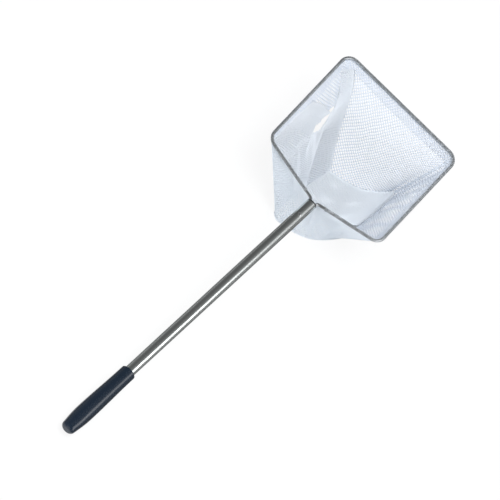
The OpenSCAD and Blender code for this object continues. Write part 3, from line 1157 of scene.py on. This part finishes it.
@dataclass
class Seams:
    """The overlocked seams down the corners of the bag and round its foot."""

    bag: NetBag
    radius: float = 0.9 * MM
    wrap_pitch: float = 2.8 * MM
    rings_per_wrap: int = 8
    sides: int = 10
    steps: int = 40
    ends: tuple[float, float] = (0.015, 0.985)

    def sew_bead(self, points: Sequence[Vector], closed: bool, name: str, stands_for: str) -> None:
        """Sews a bead along a line.

        Args:
            points: points of the line.
            closed: whether it is a ring.
            name: the piece's name.
            stands_for: the node that it replaces.
        """
        line = list(points) + ([points[0]] if closed else [])
        runs = [0.0]
        for a, b in zip(line, line[1:]):
            runs.append(runs[-1] + (b - a).length)
        wraps = round(runs[-1] / self.wrap_pitch)
        count = wraps * self.rings_per_wrap
        path, i = [], 0
        for k in range(count if closed else count + 1):
            run = runs[-1] * k / count
            while i < len(runs) - 2 and runs[i + 1] < run:
                i += 1
            path.append(line[i].lerp(line[i + 1], (run - runs[i]) / (runs[i + 1] - runs[i])))
        bead = cord_mesh(path, self.radius, wraps, self.sides, closed)
        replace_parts(to_piece(bead, name, self.bag.yarns[Cloth.WHITE]), stands_for)

    def sew(self) -> None:
        """Sews the four corner seams and the seam round the foot."""
        bag, sides = self.bag, list(Side)
        start, end = self.ends
        for before, after in zip(sides, sides[1:] + sides[:1]):
            downs = [start + (end - start) * k / self.steps for k in range(self.steps + 1)]
            points = [(bag.wall_at(before, 1, v) + bag.wall_at(after, 0, v)) / 2 for v in downs]
            self.sew_bead(points, False, f"{before.name}_{after.name}_seam".lower(), "corner_seams")
        plans = [bag.foot_at(edge, k / self.steps)[0] for edge in range(4) for k in range(self.steps)]
        ring = [bag.on_floor(plan, self.radius + bag.gap) for plan in plans]
        self.sew_bead(ring, True, "foot_bead", "foot_seam")


# ---- Handle ----
@dataclass
class Handle:
    """The tube, the grip, the plug and the pin, and the wire that they hold."""

    nodes: dict[str, bpy.types.Object]
    pitch: float

    def dress(self) -> None:
        """Gives each node its finish."""
        finishes = {
            "handle_tube": Steel("polished_tube", (0.735, 0.765, 0.76), (0.59, 0.615, 0.61), 0.2, self.pitch),
            "grip": Vinyl("navy_vinyl", (0.005, 0.012, 0.024), (0.012, 0.023, 0.041), 0.25, 0.50),
            "neck_plug": Vinyl("black_plastic", (0.010, 0.012, 0.014), (0.022, 0.024, 0.026), 0.45, 0.35),
            "neck_pin": Steel("domed_pin", (0.70, 0.71, 0.72), (0.50, 0.51, 0.52), 0.25, self.pitch),
            "frame_wire": Steel("drawn_wire", (0.62, 0.64, 0.66), (0.42, 0.44, 0.46), 0.30, self.pitch),
        }
        for name, finish in finishes.items():
            mesh = self.nodes[name].data
            mesh.materials.clear()
            mesh.materials.append(finish.make())
            LOG.info("%s: dressed in %s", name, finish.name)


# ---- Studio ----
@dataclass(frozen=True)
class Lamp:
    """A soft lamp that faces the net, unseen in gloss: its place, its width and length, and its watts."""

    name: str
    place: tuple[float, float, float]
    size: tuple[float, float]
    power: float

    def hang(self) -> None:
        """Hangs the lamp."""
        data = bpy.data.lights.new(self.name, "AREA")
        data.shape = "RECTANGLE"
        data.size, data.size_y = self.size
        data.energy = self.power
        lamp = bpy.data.objects.new(self.name, data)
        lamp.location = self.place
        lamp.rotation_mode = "QUATERNION"
        lamp.rotation_quaternion = Vector(self.place).to_track_quat("Z", "Y")
        lamp.visible_glossy = False
        bpy.context.scene.collection.objects.link(lamp)


@dataclass
class Studio:
    """The floor, the backdrop of the world, the lamps and the camera."""

    stance: Stance
    tilt: float = math.radians(28)
    roll: float = math.radians(42.6)
    lens: float = 1200.0
    view_width: float = 655.7 * MM
    aim_back: float = 99.2 * MM
    aim_left: float = 10.0 * MM
    seeing: tuple[str, ...] = ("Camera", "Glossy", "Transmission")
    floor_radius: float = 6.0
    floor_colour: Colour = (0.80, 0.81, 0.82)
    floor_glow: float = 1.04
    floor_share: float = 0.85
    sky: Colour = (0.36, 0.365, 0.37)
    white: Colour = (1.0, 1.0, 1.0)
    arch_length: float = 6.0
    arch_radius: float = 1.2
    arch_reach: float = math.radians(88)
    arch_steps: int = 48
    arch_tones: Line = (
        (-84, 0.30), (-72, 0.18), (-52, 0.13), (-30, 0.15), (-12, 0.19), (4, 0.26), (14, 0.40),
        (23, 0.68), (29, 0.82), (39, 0.82), (49, 0.58), (61, 0.34), (84, 0.27),
    )
    drift: tuple[float, float] = (math.radians(36), 0.60)
    fade: tuple[float, float] = (0.58, 0.84)
    fade_tones: tuple[float, float] = (1.0, 0.56)
    strip_tones: tuple[float, float] = (0.5, 0.8)
    boost: tuple[float, float] = (0.44, 0.36)
    boost_tones: tuple[float, float] = (0.0, 4.4)
    card_width: float = 1.2
    card_edge: float = 26 * MM
    card_height: float = 2 * MM
    card_tone: float = 0.24
    lamps: tuple[Lamp, ...] = (
        Lamp("key", (0.1, -0.2, 2.2), (1.5, 1.5), 39.0), Lamp("fill", (-1.9, 0.2, 0.26), (1.2, 0.5), 17.0),
    )

    def camera(self) -> None:
        """Sets the camera over the handle, turned so that the net lies across the picture."""
        angle = self.stance.pitch + self.tilt
        ahead = Vector((math.cos(angle), 0, math.sin(angle)))
        back = Vector((-math.sin(angle), 0, math.cos(angle)))
        right = Vector((0, -1, 0))
        x_axis = ahead * math.cos(self.roll) + right * math.sin(self.roll)
        y_axis = ahead * math.sin(self.roll) - right * math.cos(self.roll)
        aim = self.stance.mouth - ahead * self.aim_back + Vector((0, self.aim_left, 0))
        data = bpy.data.cameras.new("camera")
        data.lens = self.lens
        distance = self.view_width * data.lens / data.sensor_width
        data.clip_start, data.clip_end = 0.1, distance * 3
        camera = bpy.data.objects.new("camera", data)
        matrix = Matrix((x_axis, y_axis, back)).transposed().to_4x4()
        matrix.translation = aim + back * distance
        camera.matrix_world = matrix
        bpy.context.scene.collection.objects.link(camera)
        bpy.context.scene.camera = camera

    def board(self, bm: bmesh.types.BMesh, name: str, in_gloss: bool = True) -> Shader:
        """Sets a board of the studio.

        Args:
            bm: its mesh.
            name: its name.
            in_gloss: whether only metal and gloss show it.

        Returns:
            The shader of its finish.
        """
        board = to_object(bm, name)
        for kind in ("camera", "diffuse", "transmission", "volume_scatter", "shadow"):
            setattr(board, f"visible_{kind}", not in_gloss)
        material, shader = new_material(f"{name}_finish")
        board.data.materials.append(material)
        return shader

    def seen(self, shader: Shader) -> Sock:
        """1 for a ray of the camera, of a reflection or of a view through something clear, or else 0."""
        rays = sum(shader.node("ShaderNodeLightPath", output=f"Is {kind} Ray") for kind in self.seeing)
        return shader.node("ShaderNodeMath", {"operation": "MINIMUM"}, {0: rays, 1: 1.0})

    def floor(self) -> None:
        """Lays the pale floor, which keeps a soft shadow."""
        bm = bmesh.new()
        bmesh.ops.create_circle(bm, cap_ends=True, segments=64, radius=self.floor_radius)
        shader = self.board(bm, "floor", in_gloss=False)
        lit = shader.node("ShaderNodeBsdfDiffuse", None, {"Color": (*self.floor_colour, 1)})
        glow = shader.glow(self.white, self.floor_glow)
        share = self.seen(shader) * self.floor_share
        shader.end(shader.node("ShaderNodeMixShader", None, {0: share, 1: lit, 2: glow}))

    def world(self) -> None:
        """Sets the world: soft even light, and white for the camera and for what metal shows."""
        world = bpy.data.worlds.new("studio")
        bpy.context.scene.world = world
        world.use_nodes = True
        shader = Shader(world.node_tree)
        colour = shader.blend(self.seen(shader), self.sky, self.white)
        shader.end(shader.node("ShaderNodeBackground", None, {"Color": colour, "Strength": 1.0}), "World")

    def cards(self) -> None:
        """Lays a grey card on the floor along each side of the handle."""
        bm = bmesh.new()
        for side in (-1, 1):
            middle = Vector((0, side * (self.card_edge + self.card_width / 2), self.card_height))
            place = Matrix.Translation(middle) @ Matrix.Diagonal((self.arch_length, self.card_width, 1, 1))
            bmesh.ops.create_grid(bm, x_segments=1, y_segments=1, size=0.5, matrix=place)
        shader = self.board(bm, "cards")
        shader.end(shader.glow(self.white, self.card_tone))

    def arch(self) -> None:
        """Sets the grey arch over the handle, with its bright strip."""
        bm = bmesh.new()
        bmesh.ops.create_grid(bm, x_segments=1, y_segments=self.arch_steps, size=0.5)
        for vert in bm.verts:
            angle = 2 * vert.co.y * self.arch_reach
            across, up = -math.sin(angle) * self.arch_radius, math.cos(angle) * self.arch_radius
            vert.co = Vector((vert.co.x * self.arch_length, across, up))
        shader = self.board(bm, "arch")
        point = shader.node("ShaderNodeTexCoord", output="Object")
        x, y, z = (shader.node("ShaderNodeSeparateXYZ", None, {0: point}, output=k) for k in range(3))
        angle = shader.node("ShaderNodeMath", {"operation": "ARCTAN2"}, {0: 0.0 - y, 1: z})
        angle = angle + (x - self.drift[1]) * self.drift[0]
        stops = [(0.5 + at / 360, (tone,) * 3) for at, tone in self.arch_tones]
        tone = shader.node("ShaderNodeValToRGB", {"stops": stops}, {0: angle * (0.5 / math.pi) + 0.5})
        along = shader.ease(x, self.fade, self.fade_tones)
        strip = shader.ease(tone, self.strip_tones, (0.0, 1.0)) * shader.ease(x, self.boost, self.boost_tones)
        shader.end(shader.glow(tone * (along + strip)))

    def set_up(self) -> None:
        """Sets up the whole studio."""
        self.floor()
        self.world()
        self.camera()
        self.arch()
        self.cards()
        for lamp in self.lamps:
            lamp.hang()


def main() -> None:
    """Builds the net and its studio."""
    logging.basicConfig(level=logging.INFO, format="%(message)s")
    bpy.context.scene.view_settings.view_transform = "Standard"
    stance = Stance()
    Handle(frame["nodes"], stance.pitch).dress()
    bag = NetBag(stance, {cloth: cloth.value.make() for cloth in Cloth})
    bag.walls()
    bag.floor_netting()
    Folds(bag).lay_all()
    Hem(bag).sew()
    Seams(bag).sew()
    Studio(stance).set_up()


if __name__ == "__main__":
    main()
